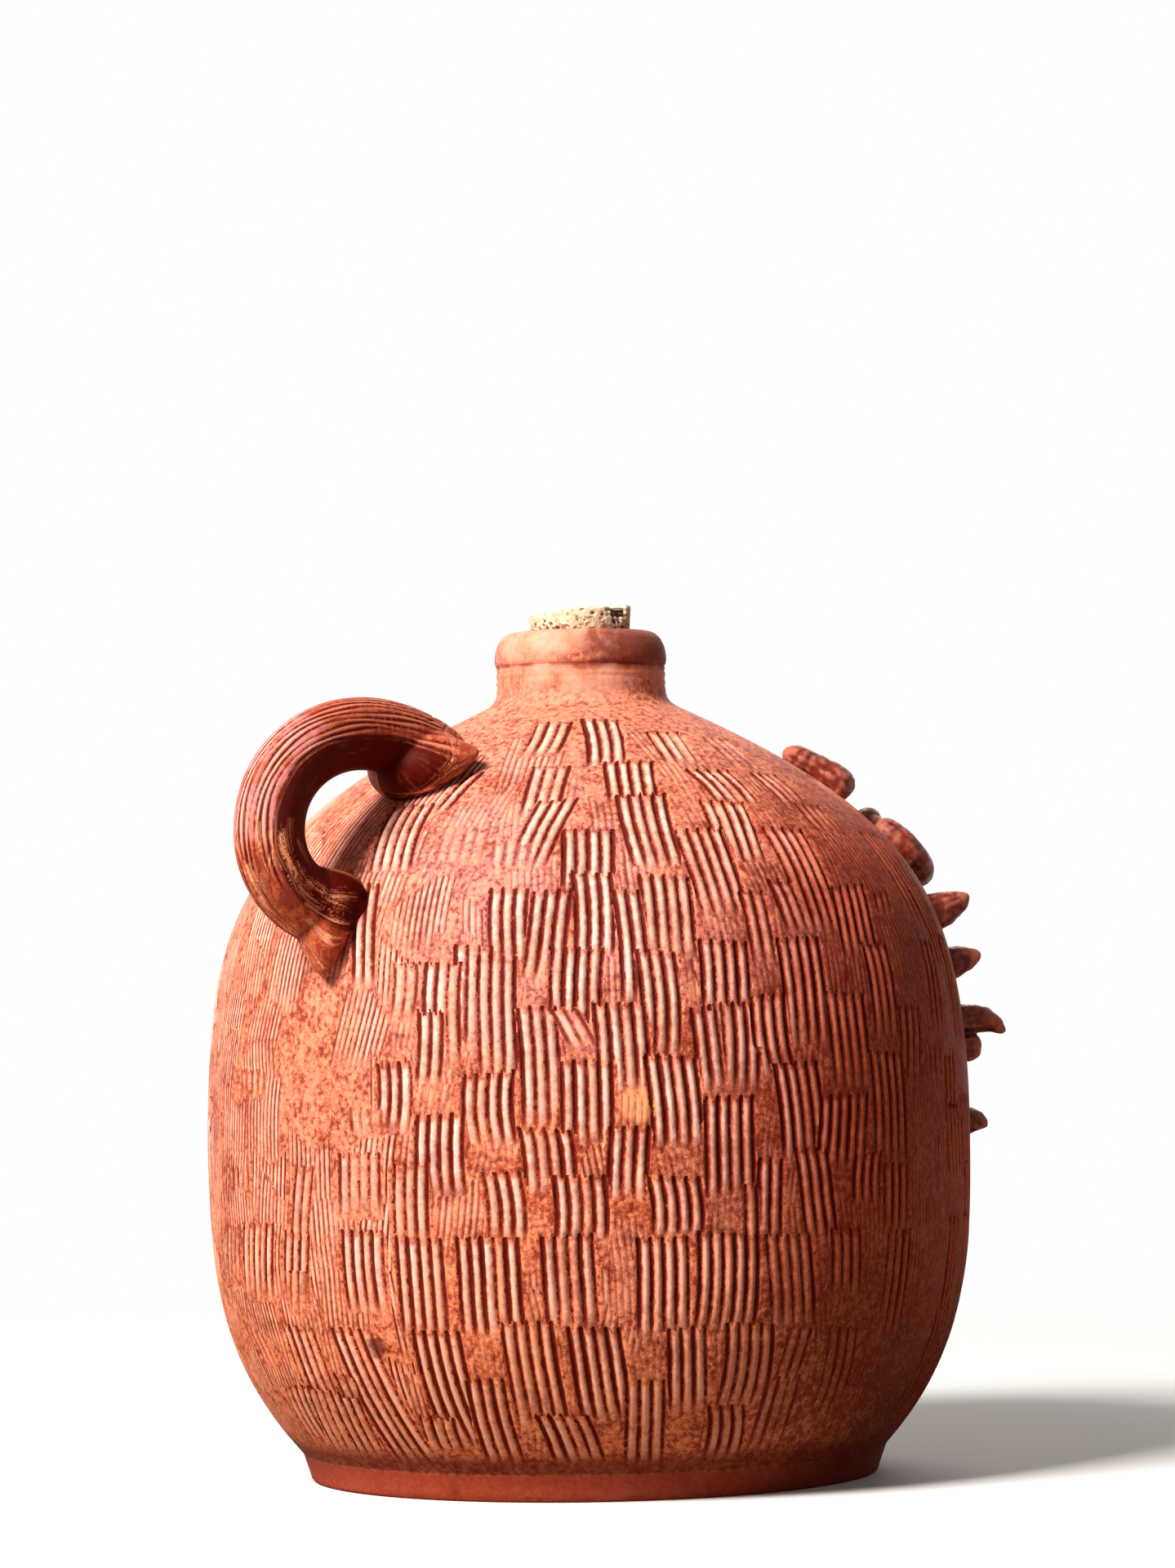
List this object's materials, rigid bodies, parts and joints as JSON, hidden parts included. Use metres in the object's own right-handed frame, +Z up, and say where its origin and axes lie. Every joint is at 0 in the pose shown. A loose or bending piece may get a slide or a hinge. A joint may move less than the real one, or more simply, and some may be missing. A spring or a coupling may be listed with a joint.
{
  "type": "jug",
  "caption": "Stout hand-made clay jug with a short corked neck, a pulled loop handle on the shoulder and an owl's face, feathers and feet pressed on in relief.",
  "frame": {"origin": "centre of the foot, on the axis of the jug, on the surface it stands on", "axes": "+Z up the axis to the cork; +X out of the middle of the owl; the handle lies along -X"},
  "size_m": [0.2019, 0.179, 0.2035],
  "materials": {
    "clay": "bare fired clay, combed and lightly polished",
    "handle_clay": "fired clay with a dark wash in its ridges",
    "owl_glaze": "dark red-brown gloss",
    "cork": "raw cork with brown pits"
  },
  "bodies": {
    "jug": {"jug_body": "clay", "handle": "handle_clay", "beak": "owl_glaze", "ear_tuft_left": "owl_glaze", "ear_tuft_right": "owl_glaze", "brow_left": "owl_glaze", "brow_right": "owl_glaze", "eye_ring_left": "owl_glaze", "eye_ring_right": "owl_glaze", "pupil_left": "owl_glaze", "pupil_right": "owl_glaze", "foot_left": "owl_glaze", "foot_right": "owl_glaze", "wing_feather_left_1": "owl_glaze", "wing_feather_left_2": "owl_glaze", "wing_feather_left_3": "owl_glaze", "wing_feather_left_4": "owl_glaze", "wing_feather_right_1": "owl_glaze", "wing_feather_right_2": "owl_glaze", "wing_feather_right_3": "owl_glaze", "wing_feather_right_4": "owl_glaze", "breast_feather_1": "owl_glaze", "breast_feather_2": "owl_glaze", "breast_feather_3": "owl_glaze", "breast_feather_4": "owl_glaze", "breast_feather_5": "owl_glaze"},
    "cork": {"cork": "cork"}
  },
  "joints": [
    {"name": "cork_slide", "type": "slide", "parent": "jug", "child": "cork", "axis": [0, 0, 1], "range_m": [0, 0.05]}
  ]
}
